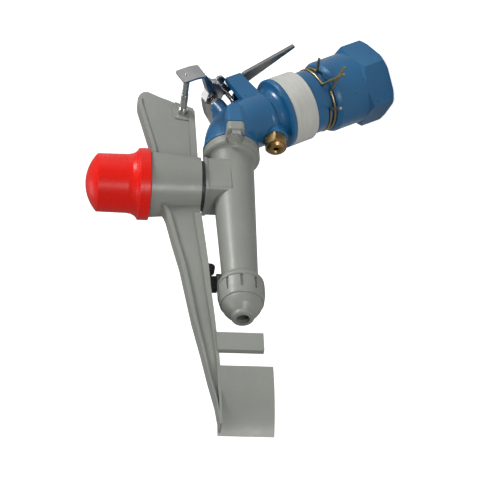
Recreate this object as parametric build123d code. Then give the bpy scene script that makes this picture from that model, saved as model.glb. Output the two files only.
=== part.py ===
from build123d import *
from math import sin, cos, tan, radians, degrees, atan2, hypot, pi, sqrt
import os

os.makedirs("parts", exist_ok=True)

# ---------------------------------------------------------------- driving sizes (mm)
# frame: origin at the centre of the inlet's open end, +Z up the base axis, barrel towards +X
ELEV = 28.7            # barrel elevation above horizontal, degrees
ZO = 141.3             # height where the barrel axis crosses the base axis

HEX_AF = 60.0          # inlet hexagon across flats
HEX_H = 23.0
HEX_ROT = 11.4         # azimuth of one hexagon corner
THREAD_MINOR_R = 22.42 # G 1-1/2 female thread, minor radius
THREAD_LEN = 22.0
SLEEVE_R = 30.0
SLEEVE_TOP = 78.0
NECK_R = 26.5
GROOVE_R = 24.4
GROOVE_Z0, GROOVE_Z1 = 53.4, 61.6
SHOULDER_Z = 34.0
CHAMBER_R = 23.5
BEARING_R = 20.0

SHAFT_RO, SHAFT_RI = 18.0, 15.5
SHAFT_Z0, SHAFT_Z1 = 24.5, 101.5
COLLAR_R, COLLAR_TOP = 21.8, 28.5

COVER_R, COVER_Z0, COVER_Z1 = 29.3, 73.0, 93.9

DISC_R, DISC_Z1 = 29.3, 98.4
NECK2_R = 20.6
ELBOW_RO, ELBOW_RI, ELBOW_BEND = 21.4, 16.0, 33.0
FLANGE_R = 22.8
SEAM_T = 25.2
EAR_W, EAR_TOP, EAR_T0, EAR_T1 = 13.7, 37.3, 5.6, 33.8
BOLT_Y, BOLT_Q, BOLT_R, BOLT_AF = 30.3, 0.4, 4.0, 12.0

PIPE_T0, PIPE_R0 = 33.4, 17.5
PIPE_T1, PIPE_R1 = 158.0, 13.8
BORE_R0, BORE_R1 = 14.4, 10.6
SPIGOT_R, SPIGOT_T = 14.4, 178.4
CAP_T0, CAP_T1, CAP_R0, CAP_R1 = 166.5, 182.5, 18.2, 16.8
CAP_SLOTS = 10
NOZZLE_R = 5.2
NOZZLE_T = 196.7

SHAFT_T = 62.7         # arm shaft axis along the barrel
PED_A = 16.7           # half width of the square arm-shaft pedestal
PED_TOP = 24.3
PIN_R = 6.0            # arm shaft
HUB_Q0, HUB_Q1, HUB_R0, HUB_R1 = 27.3, 67.3, 22.7, 25.9
ARM_RIB = 6.0          # half thickness of the arm over its ribs
ARM_WEB = 2.6          # half thickness of the arm web

PIVOT_Z = 135.3        # reversing pivot, on the back of the elbow, axis along X
CAM_X0, CAM_X1 = -41.5, -34.5
LEVER_X0, LEVER_X1 = -39.8, -37.0
LEVER_A = 20.5         # lever angle from vertical at rest, towards +Y
LEVER_LEN = 82.2

WIRE_R = 1.2
RING_R = 26.0
RING_Z = (59.5, 55.2)

HOOK_X, HOOK_Z = -30.3, 168.3   # hook pin axis, along +Y

# ---------------------------------------------------------------- helpers
E = radians(ELEV)
BV = (cos(E), 0, sin(E))
SV = (-sin(E), 0, cos(E))
# barrel frame: local X along the barrel, local Y is the frame's Y, local Z (q) square to both
LF = Plane(origin=(0, 0, ZO), x_dir=BV, z_dir=SV).location


def to_xyz(t, y, q):
    return (t * BV[0] + q * SV[0], y, ZO + t * BV[2] + q * SV[2])


def one(shape):
    """a single clean solid"""
    s = shape.solids()
    if len(s) == 1:
        return s[0]
    return max(s, key=lambda v: v.volume)


def face_of(pts):
    return make_face(Polyline(*pts, close=True))


def rev_z(pts):
    """revolve (r, z) points about Z"""
    f = make_face(Polyline(*[(r, 0, z) for r, z in pts], close=True))
    return revolve(f, Axis.Z, 360)


def rev_t(pts):
    """revolve (r, t) points about the local X axis"""
    return Rotation(0, 90, 0) * rev_z(pts)


def cyl_z(r, z0, z1, x=0, y=0):
    return Pos(x, y, (z0 + z1) / 2) * Cylinder(r, z1 - z0)


def cyl_x(r, x0, x1, y=0, z=0):
    return Pos((x0 + x1) / 2, y, z) * Rotation(0, 90, 0) * Cylinder(r, x1 - x0)


def cyl_y(r, y0, y1, x=0, z=0):
    return Pos(x, (y0 + y1) / 2, z) * Rotation(90, 0, 0) * Cylinder(r, y1 - y0)


def block(x0, x1, y0, y1, z0, z1):
    return Pos((x0 + x1) / 2, (y0 + y1) / 2, (z0 + z1) / 2) * Box(x1 - x0, y1 - y0, z1 - z0)


def plate_tq(pts, y0, y1):
    """outline in the (X, Z) plane of the current frame, between y0 and y1"""
    f = make_face(Polyline(*[(a, y1, b) for a, b in pts], close=True))
    return extrude(f, amount=y1 - y0, dir=(0, -1, 0))


def plate_yz(pts, x0, x1):
    f = make_face(Polyline(*[(x0, a, b) for a, b in pts], close=True))
    return extrude(f, amount=x1 - x0, dir=(1, 0, 0))


def hex_z(af, z0, z1, rot=0.0):
    return extrude(Pos(0, 0, z0) * RegularPolygon(af / sqrt(3), 6, rotation=rot), z1 - z0)


def coil(radius, wire, z0, z1, turns):
    """a wire coil about Z whose outside stays between z0 and z1"""
    h = (z1 - z0) - 2 * wire
    path = Pos(0, 0, z0 + wire) * Helix(pitch=h / turns, height=h, radius=radius)
    start = path @ 0
    tang = path % 0
    prof = Plane(origin=start, z_dir=tang) * Circle(wire)
    return sweep(prof, path=path, is_frenet=True)


def band(points, widths):
    """closed outline around a centre line with a half width at each point"""
    left, right = [], []
    n = len(points)
    for i, (x, z) in enumerate(points):
        a = points[max(i - 1, 0)]
        b = points[min(i + 1, n - 1)]
        dx, dz = b[0] - a[0], b[1] - a[1]
        L = hypot(dx, dz)
        nx, nz = -dz / L, dx / L
        left.append((x + nx * widths[i], z + nz * widths[i]))
        right.append((x - nx * widths[i], z - nz * widths[i]))
    return left + right[::-1]


nodes = {}

# ---------------------------------------------------------------- fixed base
hex_blank = hex_z(HEX_AF, 0, HEX_H + 1.5, HEX_ROT)
hex_turn = rev_z([(0, 0), (31.4, 0), (34.8, 2.2), (34.8, HEX_H - 2.2), (30.0, HEX_H + 0.6), (0, HEX_H + 0.6)])
outer = rev_z([(0, 10), (SLEEVE_R, 10), (SLEEVE_R, 49.6), (28.6, 52.2), (27.2, GROOVE_Z0), (GROOVE_R, GROOVE_Z0),
               (GROOVE_R, GROOVE_Z1), (NECK_R, GROOVE_Z1), (NECK_R, SLEEVE_TOP - 0.8), (NECK_R - 0.8, SLEEVE_TOP), (0, SLEEVE_TOP)])
bore = rev_z([(0, -1), (THREAD_MINOR_R, -1), (THREAD_MINOR_R, THREAD_LEN), (CHAMBER_R, THREAD_LEN + 1.1),
              (CHAMBER_R, SHOULDER_Z), (BEARING_R, SHOULDER_Z), (BEARING_R, SLEEVE_TOP + 1), (0, SLEEVE_TOP + 1)])
nodes["inlet_sleeve"] = one((hex_blank & hex_turn) + outer - bore)

nodes["shaft_bush"] = one(rev_z([(SHAFT_RO + 0.07, 36), (BEARING_R, 36), (BEARING_R, 77.4), (SHAFT_RO + 0.07, 77.4)]))
nodes["friction_washer"] = one(rev_z([(18.4, 30.5), (23.2, 30.5), (23.2, 32.1), (18.4, 32.1)]))
nodes["seal_washers"] = Compound(children=[
    one(rev_z([(18.4, 28.8), (23.2, 28.8), (23.2, 30.5), (18.4, 30.5)])),
    one(rev_z([(18.4, 32.1), (23.2, 32.1), (23.2, 33.9), (18.4, 33.9)]))])
nodes["anti_sand_spring"] = one(coil(23.2, 1.2, SLEEVE_TOP + 0.05, 90.6, 3.25))

# ---------------------------------------------------------------- limit rings (wire clips with two bent-out ends)
def limit_ring(z, a0, a1, end0, end1):
    """arc from azimuth a0 up to a1, legs from its two ends to end0 and end1"""
    p0 = (RING_R * cos(radians(a0)), RING_R * sin(radians(a0)), z)
    p1 = (RING_R * cos(radians(a1)), RING_R * sin(radians(a1)), z)
    arc = CenterArc((0, 0, z), RING_R, a0, a1 - a0)
    body = sweep(Plane(origin=arc @ 0, z_dir=arc % 0) * Circle(WIRE_R), path=arc)
    for p, e in ((p0, end0), (p1, end1)):
        ln = Line(p, e)
        leg = extrude(Plane(origin=p, z_dir=ln % 0) * Circle(WIRE_R), ln.length)
        body = body + leg + Pos(*p) * Sphere(WIRE_R)
    return one(body)


def polar(r, az, z):
    return (r * cos(radians(az)), r * sin(radians(az)), z)


nodes["limit_ring_upper"] = limit_ring(RING_Z[0], 73.0, 385.0, polar(49.8, 65.0, 51.0), polar(50.0, 36.1, 64.0))
nodes["limit_ring_lower"] = limit_ring(RING_Z[1], 106.0, 417.0, polar(50.0, 88.2, 63.2), polar(50.0, 71.3, 47.5))

# ---------------------------------------------------------------- rotating head: shaft and dust cover
nodes["hollow_shaft"] = one(rev_z([(SHAFT_RI, SHAFT_Z0), (COLLAR_R, SHAFT_Z0), (COLLAR_R, COLLAR_TOP), (SHAFT_RO, COLLAR_TOP),
                                   (SHAFT_RO, SHAFT_Z1), (SHAFT_RI, SHAFT_Z1)]))
nodes["dust_cover"] = one(rev_z([(27.3, COVER_Z0), (COVER_R - 0.5, COVER_Z0), (COVER_R, COVER_Z0 + 0.8), (COVER_R, COVER_Z1 - 0.3),
                                 (COVER_R - 0.3, COVER_Z1), (18.2, COVER_Z1), (18.2, 91.0), (27.3, 91.0)]))

# ---------------------------------------------------------------- elbow body
T_TAN = ELBOW_BEND * tan(radians((90 - ELEV) / 2))
zc = ZO - T_TAN
arc_c = (ELBOW_BEND, 0, zc)


def elbow_bend(r):
    half = radians((90 - ELEV) / 2)
    mid = (arc_c[0] - ELBOW_BEND * cos(half), 0, arc_c[2] + ELBOW_BEND * sin(half))
    path = ThreePointArc((0, 0, zc), mid, (T_TAN * BV[0], 0, ZO + T_TAN * BV[2]))
    return sweep(Plane(origin=(0, 0, zc), z_dir=(0, 0, 1)) * Circle(r), path=path)


disc = rev_z([(0, COVER_Z1), (DISC_R - 0.6, COVER_Z1), (DISC_R, COVER_Z1 + 0.6), (DISC_R, DISC_Z1 - 1.4), (DISC_R - 1.4, DISC_Z1),
              (24.0, DISC_Z1 + 0.2), (22.2, DISC_Z1 + 0.9), (21.0, DISC_Z1 + 2.4), (NECK2_R, DISC_Z1 + 4.2), (NECK2_R, 105.4),
              (21.0, 106.4), (ELBOW_RO + 0.4, 107.6), (ELBOW_RO + 0.4, 110), (ELBOW_RO, 111.5), (ELBOW_RO, zc), (0, zc)])
elbow = disc + elbow_bend(ELBOW_RO)
elbow = elbow + LF * rev_t([(0, T_TAN), (ELBOW_RO, T_TAN), (FLANGE_R, T_TAN + 2.2), (FLANGE_R, SEAM_T - 0.4), (0, SEAM_T - 0.4)])


def ear(t0, t1, sgn, round_back):
    w = EAR_W / 2
    q0 = BOLT_Q
    if round_back:
        f = make_face(Polyline((t1, q0 - w), (t0 + w, q0 - w)) + ThreePointArc((t0 + w, q0 - w), (t0, q0), (t0 + w, q0 + w)) +
                      Polyline((t0 + w, q0 + w), (t1, q0 + w), (t1, q0 - w)))
        body = extrude(f, EAR_TOP - 12)                      # along +Z of the sketch
        body = Rotation(90, 0, 0) * body                     # sketch (t, q) -> X, Z; thickness to -Y
        body = Pos(0, EAR_TOP, 0) * body if sgn > 0 else Pos(0, -12, 0) * body
        keep = rounded_tab(t0 - 1, t1 + 1, sgn)
        return body & keep
    return rounded_tab(t0, t1, sgn)


def rounded_tab(t0, t1, sgn):
    """bar along t whose (y, q) section has its two outer corners rounded"""
    w = EAR_W / 2
    c = 2.6
    q0 = BOLT_Q
    y1 = EAR_TOP
    pts = [(12.0, q0 - w), (y1 - c, q0 - w), (y1 - 0.76, q0 - w + 0.76), (y1, q0 - w + c), (y1, q0 + w - c), (y1 - 0.76, q0 + w - 0.76),
           (y1 - c, q0 + w), (12.0, q0 + w)]
    if sgn < 0:
        pts = [(-a, b) for a, b in pts][::-1]
    return plate_yz(pts, t0, t1)


for sg in (1, -1):
    elbow = elbow + LF * ear(EAR_T0, SEAM_T - 0.4, sg, True)

# boss of the reversing pivot, on the back of the elbow
elbow = elbow + cyl_x(6.6, -29.0, -8.0, 0, PIVOT_Z)
elbow = elbow + plate_tq([(-28.0, PIVOT_Z + 3.0), (-28.0, PIVOT_Z + 5.5), (-13.5, PIVOT_Z + 14.0), (-8.0, PIVOT_Z + 14.0), (-8.0, PIVOT_Z + 3.0)], -2.0, 2.0)
# forked bracket around the trip lever, with the spring's shelf
elbow = elbow + plate_tq([(-39.0, 109.3), (-39.0, 123.4), (-6.0, 123.6), (-6.0, 106.0), (-20.0, 107.4)], 12.9, 18.2)
elbow = elbow + plate_tq([(-39.0, 107.4), (-39.0, 115.6), (-34.0, 117.0), (-6.0, 117.0), (-6.0, 106.2), (-34.0, 106.2)], -11.4, -6.4)
elbow = elbow + block(-36.4, -8.0, -11.4, 13.0, 106.2, 109.4)
# side port boss
PORT_X, PORT_Z = 24.3, 112.5
port_len = 16.0
PORT = Plane(origin=(PORT_X, 0, PORT_Z), x_dir=(0, 1, 0), z_dir=BV).location
elbow = elbow + PORT * rev_z([(0, -port_len), (10.9, -port_len), (10.4, -1.2), (9.4, 0), (0, 0)])

# waterway and holes
water = rev_z([(0, COVER_Z1 - 1), (SHAFT_RO, COVER_Z1 - 1), (SHAFT_RO, SHAFT_Z1), (ELBOW_RI, SHAFT_Z1), (ELBOW_RI, zc), (0, zc)])
water = water + elbow_bend(ELBOW_RI) + LF * rev_t([(0, T_TAN), (ELBOW_RI, T_TAN), (ELBOW_RI, SEAM_T + 1), (0, SEAM_T + 1)])
elbow = elbow - water
for sg in (1, -1):
    elbow = elbow - LF * cyl_x(BOLT_R, 9.5, SEAM_T + 1, sg * BOLT_Y, BOLT_Q)
elbow = elbow - cyl_x(3.0, -30.0, -18.6, 0, PIVOT_Z)
elbow = elbow - PORT * cyl_z(10.3, 0.0, 8.0) - PORT * cyl_z(6.0, -8.0, 1) - PORT * cyl_z(4.2, -18.0, -7.0)
nodes["elbow_body"] = one(elbow)

nodes["flange_gasket"] = one(LF * rev_t([(16.2, SEAM_T - 0.4), (22.4, SEAM_T - 0.4), (22.4, SEAM_T + 0.5), (16.2, SEAM_T + 0.5)]))

# ---------------------------------------------------------------- barrel
T0 = SEAM_T + 0.5
barrel = rev_t([(0, T0), (FLANGE_R, T0), (FLANGE_R, PIPE_T0 - 1.0), (FLANGE_R - 1.2, PIPE_T0 + 0.2), (19.6, PIPE_T0 + 1.0), (18.2, PIPE_T0 + 2.4),
                (PIPE_R0, PIPE_T0 + 4.5), (PIPE_R1, PIPE_T1), (14.6, PIPE_T1 + 1.6), (16.6, PIPE_T1 + 3.2), (17.9, PIPE_T1 + 5.4), (18.1, CAP_T0 - 0.6),
                (17.5, CAP_T0 - 0.1), (SPIGOT_R, CAP_T0 - 0.1), (SPIGOT_R, SPIGOT_T), (0, SPIGOT_T)])
for sg in (1, -1):
    barrel = barrel + ear(T0, EAR_T1, sg, False)
ped = extrude(Pos(SHAFT_T, 0, 4.0) * RectangleRounded(2 * PED_A, 2 * PED_A, 3.0), PED_TOP - 2.2 - 4.0)
ped = ped + extrude(Pos(SHAFT_T, 0, PED_TOP - 2.2) * RectangleRounded(2 * PED_A + 1.6, 2 * PED_A + 1.6, 3.6), 2.2)
barrel = barrel + ped
# lug that carries the arm's rubber stop
barrel = barrel + plate_tq([(146.5, 8.0), (146.5, 17.0), (151.0, 18.0), (157.0, 17.6), (164.0, 12.0), (164.0, 8.0)], -12.2, -7.2)
barrel = barrel - rev_t([(0, T0 - 1), (16.0, T0 - 1), (16.0, T0), (BORE_R0, 34.0), (BORE_R1, 170.0), (BORE_R1, 190), (0, 190)])
for sg in (1, -1):
    barrel = barrel - cyl_x(BOLT_R + 0.3, T0 - 1, EAR_T1 + 1, sg * BOLT_Y, BOLT_Q)
barrel = barrel - cyl_z(PIN_R, 15.8, PED_TOP + 1, SHAFT_T, 0)
nodes["barrel"] = one(LF * barrel)

bolts = []
for sg in (1, -1):
    h = hex_z(BOLT_AF, 0, 4.9, 0) & rev_z([(0, 0), (7.2, 0), (7.2, 4.0), (6.2, 4.9), (0, 4.9)])
    b = cyl_z(BOLT_R, -23.6, 0.2) + h
    bolts.append(one(LF * (Pos(EAR_T1, sg * BOLT_Y, BOLT_Q) * Rotation(0, 90, 0) * b)))
nodes["flange_bolts"] = Compound(children=bolts)

# flow straightener: four vanes on a small core, pushed into the barrel
vane = rev_t([(0, 106), (2.0, 106), (2.0, 146), (0, 148)])
for k in range(4):
    vane = vane + Rotation(90 * k, 0, 0) * block(106, 146, 0, 11.2, -0.7, 0.7)
nodes["flow_straightener"] = one(LF * vane)

# rubber stop for the arm: round rear end, waist, square front end, stem down into the barrel
stop = plate_tq([(149.6, 16.8), (161.2, 16.8), (161.6, 29.0), (149.6, 29.0)], -12.8, -6.4)
stop = stop + cyl_y(3.6, -12.8, -6.4, 140.6, 21.2) + plate_tq([(137.0, 21.2), (144.2, 21.2), (144.2, 29.0), (137.0, 29.0)], -12.8, -6.4)
stop = stop + plate_tq([(141.0, 21.6), (152.0, 20.6), (152.0, 29.0), (141.0, 29.0)], -12.0, -7.0)
stop = stop - plate_tq([(146.4, 7.9), (146.4, 17.0), (151.0, 18.0), (157.0, 17.6), (164.0, 12.0), (164.0, 8.0)], -12.2, -7.2)
nodes["arm_stop_rubber"] = one(LF * stop)

# nozzle, its seal and the slotted cap
nodes["nozzle_seal"] = one(LF * rev_t([(10.8, SPIGOT_T), (14.3, SPIGOT_T), (14.3, SPIGOT_T + 0.9), (10.8, SPIGOT_T + 0.9)]))
nz = rev_t([(0, 179.3), (15.3, 179.3), (15.3, 180.6), (15.9, 182.4), (15.4, 184.6), (14.4, 187.0), (12.8, 189.4), (10.9, 191.5), (9.5, 192.8),
            (8.74, 193.6), (8.74, 195.4), (8.1, 196.4), (7.2, NOZZLE_T), (0, NOZZLE_T)])
nz = nz - rev_t([(0, 178), (BORE_R1, 178), (BORE_R1, 179.3), (NOZZLE_R, 193.0), (NOZZLE_R, 200), (0, 200)])
nodes["nozzle"] = one(LF * nz)
cap = rev_t([(SPIGOT_R, CAP_T0), (CAP_R0 - 0.7, CAP_T0), (CAP_R0, CAP_T0 + 0.7), (CAP_R0 - 0.15, CAP_T0 + 9), (CAP_R1, CAP_T1 - 0.4),
             (CAP_R1 - 0.4, CAP_T1), (16.0, CAP_T1), (15.4, 180.6), (15.4, 179.2), (SPIGOT_R, 179.2)])
for k in range(CAP_SLOTS):
    cap = cap - Rotation(360 / CAP_SLOTS * k + 23.0, 0, 0) * block(CAP_T0 - 1, CAP_T0 + 11.5, -1.1, 1.1, 16.5, 20)
nodes["nozzle_cap"] = one(LF * cap)

# ---------------------------------------------------------------- arm shaft and what stands on it
pin = cyl_z(PIN_R, 15.8, 99.0) + cyl_z(7.6, PED_TOP, PED_TOP + 0.1)
nodes["arm_shaft"] = one(LF * (Pos(SHAFT_T, 0, 0) * rev_z([(0, 15.8), (PIN_R, 15.8), (PIN_R, 98.4), (PIN_R - 0.8, 99.2), (0, 99.2)])))
nodes["thrust_washer"] = one(LF * (Pos(SHAFT_T, 0, 0) * rev_z([(PIN_R + 0.02, PED_TOP), (20.0, PED_TOP), (20.0, 27.0), (PIN_R + 0.02, 27.0)])))
nodes["spring_seat"] = one(LF * (Pos(SHAFT_T, 0, 0) * rev_z([(PIN_R, 88.2), (17.2, 88.2), (17.2, 90.4), (9.5, 90.4), (9.5, 92.8), (PIN_R, 92.8)])))
snut = hex_z(19.0, 92.8, 98.0, 15) & rev_z([(0, 92.8), (10.9, 92.8), (10.9, 97.2), (9.5, 98.0), (0, 98.0)])
nodes["spring_seat_nut"] = one(LF * (Pos(SHAFT_T, 0, 0) * (snut - cyl_z(PIN_R, 90, 100))))

# ---------------------------------------------------------------- brass side nozzle
HB = 9.6
brass = hex_z(17.0, 0, HB, 0) & rev_z([(0, 0), (9.2, 0), (9.9, 0.9), (9.9, HB - 2.2), (8.5, HB), (0, HB)])
brass = brass + rev_z([(0, HB - 1), (7.4, HB - 1), (7.4, HB + 0.3), (5.6, HB + 2.2), (3.6, HB + 2.6), (0, HB + 2.6)]) + cyl_z(6.0, -7.9, 0.5)
brass = brass - cyl_z(4.2, -10, HB - 3) - cyl_z(1.9, HB - 4, HB + 5) - rev_z([(0, HB + 3), (3.0, HB + 3), (3.0, HB + 2.6), (1.9, HB + 1.4), (0, HB + 1.4)])
nodes["brass_side_nozzle"] = one(PORT * (Rotation(0, 0, 8) * brass))

# ---------------------------------------------------------------- reversing mechanism
u = (sin(radians(LEVER_A)), -cos(radians(LEVER_A)))
w = (cos(radians(LEVER_A)), sin(radians(LEVER_A)))


def lv(d, h):
    return (u[0] * d + w[0] * h, PIVOT_Z + u[1] * d + w[1] * h)


lever = plate_yz([lv(0, 4.2), lv(22, 3.4), lv(25, 2.6), lv(29.6, 2.6), lv(33.2, 6.1), lv(35, 6.0), lv(LEVER_LEN - 0.8, 1.4), lv(LEVER_LEN, 0.6),
                  lv(LEVER_LEN, -0.6), lv(LEVER_LEN - 0.8, -1.4), lv(35, -6.0), lv(33.2, -6.1), lv(29.6, -2.6), lv(25, -2.6), lv(22, -3.4), lv(0, -4.2)],
                 LEVER_X0, LEVER_X1)
lever = lever + cyl_x(7.0, LEVER_X0, LEVER_X1, 0, PIVOT_Z)
cam_pts = [(33.2, 149.0), (34.6, 146.8), (26.4, 141.6), (22.7, 139.0), (19.2, 134.8), (18.9, 132.3), (21.0, 130.1), (20.0, 126.3), (15.6, 122.6),
           (11.4, 125.2), (6.9, 126.0), (2.4, 126.8), (-4.6, 128.8), (-12.6, 130.8), (-21.6, 131.4), (-27.6, 129.6), (-31.6, 127.4), (-34.1, 129.3),
           (-33.2, 131.2), (-26.3, 134.7), (-18.8, 138.4), (-9.6, 141.2), (-1.6, 143.1), (2.6, 143.4), (7.4, 142.6), (11.6, 141.6), (27.0, 146.8)]
cam = plate_yz(cam_pts, CAM_X0, CAM_X1)
# the lower lobe is thinner, so that it passes behind the fork
cam = cam - (block(-39.3, CAM_X1 + 1, 9.0, 30.0, 110.0, 132.2) - cyl_x(17.2, -40.0, CAM_X1 + 2, 0, PIVOT_Z))
cam = cam - lever
cam = cam - cyl_x(3.06, CAM_X0 - 1, CAM_X1 + 1, 0, PIVOT_Z)
nodes["reversing_cam"] = one(cam)
M = lv(12.6, 0)
lever = lever - cyl_x(3.06, LEVER_X0 - 1, LEVER_X1 + 1, 0, PIVOT_Z) - cyl_x(1.5, LEVER_X0 - 1, LEVER_X1 + 1, M[0], M[1])
nodes["trip_lever"] = one(lever)
nodes["spring_pin"] = one(cyl_x(1.5, LEVER_X0, LEVER_X1, M[0], M[1]) + cyl_x(1.9, LEVER_X1, -23.2, M[0], M[1]))

seat = (2.9, 109.4)
axis_len = hypot(M[0] - seat[0], M[1] - seat[1]) - 1.9
tog = Plane(origin=(-27.0, seat[0], seat[1]), x_dir=(1, 0, 0), z_dir=(0, M[0] - seat[0], M[1] - seat[1])).location
nodes["toggle_spring"] = one(tog * coil(3.7, 0.75, 0.15, axis_len - 1.3, 5.5))

head = hex_z(10.0, 0, 4.0, 0) & rev_z([(0, 0), (5.9, 0), (5.9, 3.2), (5.0, 4.0), (0, 4.0)])
pb = Pos(-41.75, 0, PIVOT_Z) * Rotation(0, -90, 0) * head + cyl_x(3.0, -42.0, -19.2, 0, PIVOT_Z)
nodes["pivot_bolt"] = one(pb)
nutb = hex_z(10.0, 0, 3.2, 0) & rev_z([(0, 0), (5.3, 0), (5.9, 0.6), (5.9, 2.6), (5.3, 3.2), (0, 3.2)])
nutb = Pos(-32.4, 0, PIVOT_Z) * Rotation(0, 90, 0) * (Rotation(0, 0, 28) * nutb) - cyl_x(3.0, -36, -28, 0, PIVOT_Z)
nodes["pivot_lock_nut"] = one(nutb)

# ---------------------------------------------------------------- swinging arm
upper_edge = [(62.7, 62.0), (82.0, 60.5), (89.0, 58.0), (93.5, 56.0), (98.0, 54.6), (106.0, 53.2), (121.0, 50.6), (147.0, 45.4), (173.5, 41.8), (199.5, 38.2),
              (228.0, 33.0), (255.0, 28.6), (276.0, 24.6), (297.0, 22.5)]
lower_edge = [(297.0, 21.0), (276.0, 20.6), (250.0, 20.0), (238.0, 20.1), (227.0, 20.6), (199.0, 21.8), (170.0, 23.5), (145.0, 24.3), (120.0, 25.9),
              (96.0, 27.6), (62.7, 28.6)]
web = plate_tq(upper_edge + lower_edge, -ARM_WEB, ARM_WEB)
up_c = upper_edge[1:]
rib_u = [(a, b - 1.6) for a, b in up_c]
rib_up = plate_tq(up_c + [(a, b - 3.2 * min(1.0, max(0.35, (300 - a) / 120.0))) for a, b in up_c[::-1]], -ARM_RIB, ARM_RIB)
lo_c = lower_edge[:-1]
rib_lo = plate_tq(lo_c + [(a, b + 5.6 * min(1.0, max(0.30, (330 - a) / 220.0))) for a, b in lo_c[::-1]], -ARM_RIB, ARM_RIB)
arm = web + rib_up + rib_lo
# tail plate with its thick back part
tail_out = [(62.7, 63.5), (27.0, 64.2), (-22.0, 74.2), (-28.0, 74.4), (-33.0, 72.6), (-36.0, 69.6), (-36.4, 65.8), (-31.0, 56.3), (-27.2, 48.2), (-23.0, 41.0),
            (-18.6, 30.0), (-15.0, 28.4), (1.0, 28.3), (30.0, 28.0), (62.7, 28.0)]
tail = plate_tq(tail_out, -4.4, 4.4)
tail = tail + plate_tq([(62.7, 63.5), (27.0, 64.2), (-22.0, 74.2), (-28.0, 74.4), (-29.0, 71.2), (-22.0, 71.0), (27.0, 60.9), (62.7, 60.2)], -ARM_RIB, ARM_RIB)
tail = tail + plate_tq([(-18.0, 33.6), (-18.2, 30.4), (-15.0, 28.4), (1.0, 28.3), (30.0, 28.0), (62.7, 28.0), (62.7, 33.4), (30.0, 33.4)], -ARM_RIB, ARM_RIB)
# pad that carries the hook pin
hp = (HOOK_X * BV[0] + (HOOK_Z - ZO) * BV[2], HOOK_X * SV[0] + (HOOK_Z - ZO) * SV[2])
pad = cyl_y(7.6, -5.0, 5.5, hp[0], hp[1]) + plate_tq([(-18.4, 29.4), (-5.0, 28.6), (-5.4, 38.2), (-7.0, 45.0), (-16.0, 47.0), (-25.0, 44.0)], -5.0, 5.5)
arm = arm + tail + pad
# hub with the spring chamber
arm = arm + Pos(SHAFT_T, 0, 0) * rev_z([(0, HUB_Q0), (HUB_R0, HUB_Q0), (HUB_R1, HUB_Q1 - 0.8), (HUB_R1 - 0.8, HUB_Q1), (0, HUB_Q1)])
# spoon: one curved sheet across the jet, hollow side away from +Y
SP_R = 74.0
sp_t0, sp_y0 = 247.0, 8.6
sp_a = 42.0
cy = sp_y0 - SP_R


def sp_pt(r, a):
    return (sp_t0 + r * sin(radians(a)), cy + r * cos(radians(a)))


sk = make_face(Polyline(sp_pt(SP_R - 2.6, 0), (sp_t0 - 0.0, sp_y0)) + ThreePointArc(sp_pt(SP_R, 0), sp_pt(SP_R, sp_a / 2), sp_pt(SP_R, sp_a)) +
               Polyline(sp_pt(SP_R, sp_a), sp_pt(SP_R - 2.6, sp_a)) + ThreePointArc(sp_pt(SP_R - 2.6, sp_a), sp_pt(SP_R - 2.6, sp_a / 2), sp_pt(SP_R - 2.6, 0)))
spoon = Pos(0, 0, -18.4) * extrude(sk, 41.0)
mask = extrude(Plane.XZ * (Pos(270.7, 2.1) * RectangleRounded(60.0, 41.0, 4.0)), 40, both=True)
spoon = spoon & mask
# root of the spoon: a thin upright wall that follows its curve up to the arm
root = Pos(0, 0, 17.6) * extrude(make_face(Polyline(sp_pt(SP_R, 0), (sp_t0 - 1.0, 6.0), (sp_t0 - 2.0, -5.8), (sp_t0 + 8.0, -6.0), (sp_t0 + 26.0, -6.0),
                                                    (sp_t0 + 40.0, -10.0), sp_pt(SP_R - 2.6, sp_a), sp_pt(SP_R, sp_a)) +
                                           ThreePointArc(sp_pt(SP_R, sp_a), sp_pt(SP_R, sp_a / 2), sp_pt(SP_R, 0))), 5.0)
arm = arm + spoon + root
# deflector bar ahead of the spoon, slightly turned across the jet
defl = Pos(224.4, 6.7, 4.3) * Rotation(0, 0, -7) * extrude(Pos(0, 0, -17.2) * RectangleRounded(15.2, 6.0, 0.9), 34.6)
arm = arm + defl
# bores of the hub
arm = arm - Pos(SHAFT_T, 0, 0) * (cyl_z(20.2, 34.0, HUB_Q1 + 1) - cyl_z(11.2, 30, 58.0))
arm = arm - cyl_z(9.0, HUB_Q0 - 1, 70, SHAFT_T, 0)
arm = arm - cyl_y(2.6, -8, 8, hp[0], hp[1])
nodes["arm"] = one(LF * arm)

bush = rev_z([(PIN_R + 0.06, 0), (9.0, 0), (9.0, 13.0), (PIN_R + 0.06, 13.0)])
nodes["arm_bushes"] = Compound(children=[one(LF * (Pos(SHAFT_T, 0, HUB_Q0) * bush)), one(LF * (Pos(SHAFT_T, 0, 45.0) * bush))])
nodes["arm_spring"] = one(LF * (Pos(SHAFT_T, 0, 0) * coil(14.6, 1.5, 34.05, 88.0, 9.25)))

CROWN_R, CROWN_TOP = 34.0, 117.0


def crown(r):
    return CROWN_TOP - (CROWN_R - sqrt(CROWN_R * CROWN_R - r * r))


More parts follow.
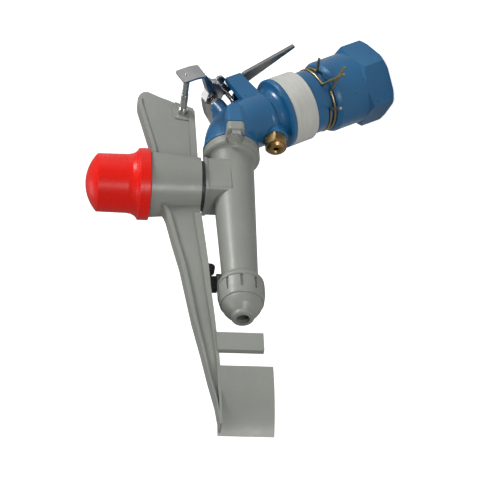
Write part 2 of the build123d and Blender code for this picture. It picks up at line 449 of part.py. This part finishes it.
red_low = [(20.15, 63.4), (20.15, HUB_Q1), (28.0, HUB_Q1), (28.4, 67.8), (28.4, 75.4), (27.9, 76.0), (26.6, 76.6), (24.9, 78.6), (23.8, 81.2), (23.3, 84.5), (23.0, crown(23.0))]
red_in = [(0, CROWN_TOP), (0, 115.0), (7.0, 114.2), (12.4, 112.6), (16.4, 110.4), (19.2, 108.2), (20.6, 106.4), (21.1, 104.6), (21.3, 84.5), (19.6, 78.0), (18.6, 70.0), (18.4, 63.4),
          (20.15, 63.4)]
red_face = make_face(Polyline(*[(a, 0, b) for a, b in red_low]) + ThreePointArc((23.0, 0, crown(23.0)), (12.0, 0, crown(12.0)), (0, 0, CROWN_TOP)) + Polyline(*[(a, 0, b) for a, b in red_in]))
red = revolve(red_face, Axis.Z, 360)
nodes["red_cap"] = one(LF * (Pos(SHAFT_T, 0, 0) * red))

# hook pin, its collar nut and the flag plate on the tail
nodes["hook_pin"] = one(cyl_y(2.6, -7.5, 10.5, HOOK_X, HOOK_Z) + cyl_y(2.95, 10.5, 25.6, HOOK_X, HOOK_Z) + cyl_y(2.5, 25.6, 46.6, HOOK_X, HOOK_Z)
                        + cyl_y(1.9, 46.6, 49.0, HOOK_X, HOOK_Z))
nutc = cyl_y(4.3, 5.5, 10.5, HOOK_X, HOOK_Z) - cyl_y(2.6, 4, 12, HOOK_X, HOOK_Z)
nodes["hook_collar"] = one(nutc)
fl = plate_yz([(48.6, 175.6), (48.6, 163.5), (48.1, 160.0), (46.9, 154.6), (45.0, 155.0), (46.1, 160.3), (46.6, 163.6), (46.6, 175.6)], -37.4, -22.8)
fl = fl & extrude(Plane.XZ.offset(-60) * (Pos(-30.1, 165.1) * RectangleRounded(14.6, 21.0, 1.6)), 40)
fl = fl - cyl_y(1.9, 44, 52, HOOK_X, HOOK_Z)
nodes["hook_plate"] = one(fl)

# ---------------------------------------------------------------- write
for name, shape in nodes.items():
    export_step(shape, "parts/" + name + ".step")
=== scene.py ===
import bpy
import bmesh
from math import sin, cos, pi, radians, sqrt, atan2, hypot
from mathutils import Vector, Matrix

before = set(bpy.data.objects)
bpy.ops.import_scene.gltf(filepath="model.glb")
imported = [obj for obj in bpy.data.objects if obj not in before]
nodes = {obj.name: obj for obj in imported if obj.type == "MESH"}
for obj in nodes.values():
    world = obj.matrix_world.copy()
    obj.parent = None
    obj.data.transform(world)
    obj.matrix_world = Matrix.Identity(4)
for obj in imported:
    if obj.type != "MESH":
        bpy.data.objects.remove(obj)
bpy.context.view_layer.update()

# ------------------------------------------------------------------ shared frame of the barrel
ELEV = radians(28.7)
ZO = 0.1413
BV = Vector((cos(ELEV), 0.0, sin(ELEV)))
SV = Vector((-sin(ELEV), 0.0, cos(ELEV)))


def L(t, y, q):
    """barrel frame, millimetres, to the row frame, metres"""
    p = BV * (t / 1000.0) + SV * (q / 1000.0)
    return Vector((p.x, y / 1000.0, p.z + ZO))


# ------------------------------------------------------------------ materials
def new_mat(name):
    m = bpy.data.materials.new(name)
    m.use_nodes = True
    nt = m.node_tree
    nt.nodes.clear()
    out = nt.nodes.new("ShaderNodeOutputMaterial")
    bsdf = nt.nodes.new("ShaderNodeBsdfPrincipled")
    nt.links.new(bsdf.outputs["BSDF"], out.inputs["Surface"])
    tc = nt.nodes.new("ShaderNodeTexCoord")
    return m, nt, bsdf, tc


def noise(nt, tc, scale, detail=4.0, rough=0.55, stretch=None, dist=0.0):
    n = nt.nodes.new("ShaderNodeTexNoise")
    n.inputs["Scale"].default_value = scale
    n.inputs["Detail"].default_value = detail
    n.inputs["Roughness"].default_value = rough
    n.inputs["Distortion"].default_value = dist
    src = tc.outputs["Object"]
    if stretch:
        mp = nt.nodes.new("ShaderNodeMapping")
        mp.inputs["Scale"].default_value = stretch
        nt.links.new(src, mp.inputs["Vector"])
        src = mp.outputs["Vector"]
    nt.links.new(src, n.inputs["Vector"])
    return n.outputs["Fac"]


def ramp(nt, fac, stops):
    r = nt.nodes.new("ShaderNodeValToRGB")
    els = r.color_ramp.elements
    while len(els) < len(stops):
        els.new(0.5)
    for e, (p, c) in zip(els, stops):
        e.position = p
        e.color = c if len(c) == 4 else (*c, 1.0)
    nt.links.new(fac, r.inputs["Fac"])
    return r.outputs["Color"]


def grey(v):
    return (v, v, v, 1.0)


def mixc(nt, fac, a, b):
    m = nt.nodes.new("ShaderNodeMix")
    m.data_type = "RGBA"
    if isinstance(fac, float):
        m.inputs[0].default_value = fac
    else:
        nt.links.new(fac, m.inputs[0])
    for sock, v in ((m.inputs[6], a), (m.inputs[7], b)):
        if isinstance(v, tuple):
            sock.default_value = v if len(v) == 4 else (*v, 1.0)
        else:
            nt.links.new(v, sock)
    return m.outputs[2]


def add_bump(nt, bsdf, layers):
    """layers: (height socket, distance in metres, strength)"""
    prev = None
    for h, d, s in layers:
        b = nt.nodes.new("ShaderNodeBump")
        b.inputs["Distance"].default_value = d
        b.inputs["Strength"].default_value = s
        nt.links.new(h, b.inputs["Height"])
        if prev is not None:
            nt.links.new(prev, b.inputs["Normal"])
        prev = b.outputs["Normal"]
    nt.links.new(prev, bsdf.inputs["Normal"])


def paint(name, light, dark, wear, rough=(0.30, 0.46), cast=0.00022, peel=0.00004, coat=0.25, spec=0.5, wear_amt=0.73):
    """gloss paint over a sand or die casting: colour drift, orange peel, casting texture and small rubbed flecks"""
    m, nt, b, tc = new_mat(name)
    big = noise(nt, tc, 22.0, 3.0, 0.5)
    mid = noise(nt, tc, 140.0, 4.0, 0.6)
    fine = noise(nt, tc, 900.0, 3.0, 0.6)
    peeln = noise(nt, tc, 520.0, 2.0, 0.5)
    col = ramp(nt, big, [(0.30, dark), (0.70, light)])
    speck = ramp(nt, fine, [(0.0, grey(0.90)), (0.42, grey(0.96)), (0.62, grey(1.0)), (1.0, grey(1.05))])
    mul = nt.nodes.new("ShaderNodeMix")
    mul.data_type = "RGBA"
    mul.blend_type = "MULTIPLY"
    mul.inputs[0].default_value = 1.0
    nt.links.new(col, mul.inputs[6])
    nt.links.new(speck, mul.inputs[7])
    col = mul.outputs[2]
    wn = noise(nt, tc, 75.0, 8.0, 0.72)
    wm = ramp(nt, wn, [(0.0, grey(0.0)), (wear_amt, grey(0.0)), (wear_amt + 0.03, grey(0.8)), (1.0, grey(0.8))])
    col = mixc(nt, wm, col, wear)
    nt.links.new(col, b.inputs["Base Color"])
    r = ramp(nt, mid, [(0.25, grey(rough[0])), (0.75, grey(rough[1]))])
    nt.links.new(r, b.inputs["Roughness"])
    b.inputs["Coat Weight"].default_value = coat
    b.inputs["Coat Roughness"].default_value = 0.18
    b.inputs["Specular IOR Level"].default_value = spec
    add_bump(nt, b, [(mid, cast, 0.55), (peeln, peel, 0.6), (fine, 0.00002, 0.35)])
    return m


def metal(name, light, dark, rough=(0.16, 0.34), brush=None, bump=0.00003, tint=None, metallic=1.0):
    """metal with a faint drift of tone, fine tool marks and uneven polish"""
    m, nt, b, tc = new_mat(name)
    big = noise(nt, tc, 60.0, 4.0, 0.6)
    marks = noise(nt, tc, 700.0, 3.0, 0.6, stretch=brush or (1.0, 1.0, 1.0))
    pol = noise(nt, tc, 260.0, 5.0, 0.65)
    col = ramp(nt, big, [(0.28, dark), (0.72, light)])
    if tint:
        tn = noise(nt, tc, 120.0, 5.0, 0.6)
        tm = ramp(nt, tn, [(0.0, grey(0.0)), (0.52, grey(0.0)), (0.66, grey(0.7)), (1.0, grey(0.9))])
        col = mixc(nt, tm, col, tint)
    nt.links.new(col, b.inputs["Base Color"])
    r = ramp(nt, pol, [(0.25, grey(rough[0])), (0.75, grey(rough[1]))])
    nt.links.new(r, b.inputs["Roughness"])
    b.inputs["Metallic"].default_value = metallic
    add_bump(nt, b, [(marks, bump, 0.5), (pol, bump, 0.3)])
    return m


def plastic(name, light, dark, rough=(0.3, 0.45), bump=0.00004, coat=0.0, sss=0.0, scale=420.0, spec=0.5, streak=None):
    m, nt, b, tc = new_mat(name)
    big = noise(nt, tc, 35.0, 4.0, 0.55, stretch=streak)
    fine = noise(nt, tc, scale, 3.0, 0.55)
    col = ramp(nt, big, [(0.3, dark), (0.7, light)])
    nt.links.new(col, b.inputs["Base Color"])
    r = ramp(nt, fine, [(0.3, grey(rough[0])), (0.7, grey(rough[1]))])
    nt.links.new(r, b.inputs["Roughness"])
    b.inputs["Coat Weight"].default_value = coat
    b.inputs["Coat Roughness"].default_value = 0.12
    b.inputs["Specular IOR Level"].default_value = spec
    if sss > 0:
        b.inputs["Subsurface Weight"].default_value = sss
        b.inputs["Subsurface Radius"].default_value = (0.004, 0.0015, 0.001)
        b.inputs["Subsurface Scale"].default_value = 0.5
    add_bump(nt, b, [(fine, bump, 0.5)])
    return m


M = {}
M["grey"] = paint("paint_grey", (0.300, 0.312, 0.282), (0.262, 0.273, 0.246), (0.42, 0.43, 0.41), rough=(0.34, 0.50), cast=0.00020, coat=0.12, wear_amt=0.76)
M["blue"] = paint("paint_blue", (0.012, 0.138, 0.310), (0.007, 0.106, 0.255), (0.10, 0.24, 0.40), rough=(0.24, 0.40), cast=0.00020, coat=0.45, wear_amt=0.78)
M["red"] = plastic("plastic_red", (0.86, 0.010, 0.003), (0.78, 0.007, 0.002), rough=(0.26, 0.36), bump=0.00003, coat=0.1, sss=0.04, spec=0.35)
M["white"] = plastic("plastic_white", (0.64, 0.64, 0.60), (0.55, 0.55, 0.51), rough=(0.42, 0.60), bump=0.00010, sss=0.05, scale=520.0, streak=(1.0, 1.0, 6.0))
M["rubber"] = plastic("rubber_black", (0.030, 0.031, 0.029), (0.018, 0.019, 0.018), rough=(0.55, 0.75), bump=0.00008, spec=0.35)
M["black_plastic"] = plastic("plastic_black", (0.028, 0.028, 0.028), (0.016, 0.016, 0.016), rough=(0.38, 0.55), bump=0.00005)
M["nylon"] = plastic("nylon_natural", (0.72, 0.69, 0.60), (0.64, 0.61, 0.52), rough=(0.4, 0.55), bump=0.00004, sss=0.1)
M["ptfe"] = plastic("ptfe_white", (0.80, 0.80, 0.78), (0.74, 0.74, 0.72), rough=(0.35, 0.5), bump=0.00003, sss=0.1)
M["brass"] = metal("brass_turned", (0.60, 0.40, 0.17), (0.40, 0.25, 0.10), rough=(0.22, 0.42), tint=(0.24, 0.15, 0.07))
M["chrome"] = metal("plated_bright", (0.60, 0.60, 0.61), (0.44, 0.44, 0.45), rough=(0.10, 0.26), bump=0.00002)
M["zinc"] = metal("plated_zinc", (0.66, 0.66, 0.64), (0.48, 0.48, 0.47), rough=(0.18, 0.36), bump=0.00003, tint=(0.50, 0.49, 0.44))
M["steel"] = metal("steel_sheet", (0.36, 0.37, 0.38), (0.24, 0.25, 0.26), rough=(0.28, 0.46), brush=(1.0, 1.0, 0.15), bump=0.00004)
M["stainless"] = metal("steel_bright", (0.62, 0.62, 0.62), (0.48, 0.48, 0.49), rough=(0.16, 0.34), bump=0.00003)
M["spring"] = metal("spring_black", (0.055, 0.055, 0.058), (0.030, 0.030, 0.032), rough=(0.35, 0.5), bump=0.00003, metallic=0.6)
M["wire"] = metal("wire_yellow_zinc", (0.55, 0.44, 0.24), (0.34, 0.28, 0.18), rough=(0.24, 0.44), bump=0.00003, tint=(0.30, 0.26, 0.22))

# arm_stop_rubber is black rubber throughout: the bumper is real black rubber, and its stem, which sits in shade, is
# black too as painted shade
use = {
    "inlet_sleeve": "blue", "elbow_body": "blue", "shaft_bush": "nylon", "friction_washer": "ptfe", "seal_washers": "rubber", "anti_sand_spring": "stainless",
    "hollow_shaft": "brass", "dust_cover": "white", "flange_gasket": "rubber", "barrel": "grey", "flange_bolts": "zinc", "flow_straightener": "black_plastic",
    "arm_stop_rubber": "rubber", "nozzle_seal": "rubber", "nozzle": "grey", "nozzle_cap": "grey", "arm_shaft": "stainless", "thrust_washer": "black_plastic",
    "spring_seat": "stainless", "spring_seat_nut": "stainless", "brass_side_nozzle": "brass", "pivot_bolt": "zinc", "pivot_lock_nut": "chrome",
    "toggle_spring": "spring", "arm": "grey", "arm_bushes": "nylon", "red_cap": "red", "hook_pin": "zinc", "hook_collar": "chrome", "hook_plate": "stainless",
    "arm_spring": "stainless", "reversing_cam": "chrome", "trip_lever": "steel", "spring_pin": "stainless", "limit_ring_upper": "wire", "limit_ring_lower": "wire",
}
for name, obj in nodes.items():
    mat = M[use.get(name, "grey")]
    if not obj.material_slots:
        obj.data.materials.append(mat)
    for s in obj.material_slots:
        s.link = "OBJECT"
        s.material = mat

# ------------------------------------------------------------------ soft edges on the castings and pressings
bevels = {"arm": 0.0007, "barrel": 0.0006, "elbow_body": 0.0007, "inlet_sleeve": 0.0006, "reversing_cam": 0.0005, "trip_lever": 0.0003, "hook_plate": 0.0003,
          "nozzle_cap": 0.0003, "arm_stop_rubber": 0.0006, "flange_bolts": 0.0002, "brass_side_nozzle": 0.0002, "dust_cover": 0.0003}
for name, wdt in bevels.items():
    o = nodes[name]
    bv = o.modifiers.new("soft_edge", "BEVEL")
    bv.width = wdt
    bv.segments = 2
    bv.limit_method = "ANGLE"
    bv.angle_limit = radians(32)
    bv.use_clamp_overlap = True
    bv.harden_normals = True

# ------------------------------------------------------------------ floor
floor_m, nt, b, tc = new_mat("floor_white")
fn = noise(nt, tc, 6.0, 2.0, 0.5)
nt.links.new(ramp(nt, fn, [(0.3, grey(0.90)), (0.7, grey(0.93))]), b.inputs["Base Color"])
b.inputs["Roughness"].default_value = 0.9
b.inputs["Specular IOR Level"].default_value = 0.0
b.inputs["Emission Color"].default_value = (1.0, 1.0, 1.0, 1.0)
b.inputs["Emission Strength"].default_value = 0.75
lp = nt.nodes.new("ShaderNodeLightPath")
dim = nt.nodes.new("ShaderNodeBsdfDiffuse")
dim.inputs["Color"].default_value = (0.55, 0.55, 0.55, 1.0)
mixs = nt.nodes.new("ShaderNodeMixShader")
nt.links.new(lp.outputs["Is Camera Ray"], mixs.inputs[0])
nt.links.new(dim.outputs[0], mixs.inputs[1])
nt.links.new(b.outputs[0], mixs.inputs[2])
out_node = [n for n in nt.nodes if n.type == "OUTPUT_MATERIAL"][0]
nt.links.new(mixs.outputs[0], out_node.inputs["Surface"])
bpy.ops.mesh.primitive_grid_add(x_subdivisions=8, y_subdivisions=8, size=16.0, location=(0, 0, -0.0004))
floor = bpy.context.object
floor.name = "floor"
floor.data.materials.append(floor_m)

# ------------------------------------------------------------------ camera
right = Vector((0.5241, 0.1147, -0.8439))
up = Vector((-0.6763, 0.6583, -0.3305))
back = Vector((0.5176, 0.7439, 0.4226))
back.normalize()
right = (right - back * right.dot(back)).normalized()
up = back.cross(right)
cam_data = bpy.data.cameras.new("camera")
cam_data.sensor_width = 36.0
cam_data.sensor_fit = "HORIZONTAL"
cam_data.lens = 148.8
cam_data.clip_start = 0.01
cam_data.clip_end = 60.0
cam = bpy.data.objects.new("camera", cam_data)
bpy.context.scene.collection.objects.link(cam)
rot = Matrix((right, up, back)).transposed()
cam.matrix_world = Matrix.Translation(Vector((0.89738, 1.13983, 0.84354))) @ rot.to_4x4()
bpy.context.scene.camera = cam

# ------------------------------------------------------------------ light
CENTRE = Vector((0.10, 0.0, 0.15))


def area(name, direction, dist, size, energy, color=(1, 1, 1), size_y=None):
    d = bpy.data.lights.new(name, "AREA")
    d.shape = "RECTANGLE"
    d.size = size
    d.size_y = size_y or size
    d.energy = energy
    d.color = color
    o = bpy.data.objects.new(name, d)
    bpy.context.scene.collection.objects.link(o)
    direction = direction.normalized()
    o.location = CENTRE + direction * dist
    o.rotation_euler = direction.to_track_quat("Z", "Y").to_euler()
    return o


area("key_light", Vector((-0.75, 0.60, 0.42)), 1.6, 0.5, 17.0)
area("fill_light", back * 0.7 + right * 0.75 + Vector((0, 0, 0.55)), 1.8, 0.5, 11.0)
area("top_light", Vector((0.0, 0.1, 1.0)), 1.8, 0.7, 5.5)
area("rim_light", Vector((-0.7, -0.5, 0.7)), 1.6, 0.5, 1.0)

world = bpy.data.worlds.new("studio")
world.use_nodes = True
bg = world.node_tree.nodes["Background"]
bg.inputs["Color"].default_value = (1.0, 1.0, 1.0, 1.0)
bg.inputs["Strength"].default_value = 0.22
bpy.context.scene.world = world
bpy.context.scene.view_settings.view_transform = "Standard"
bpy.context.scene.view_settings.look = "None"
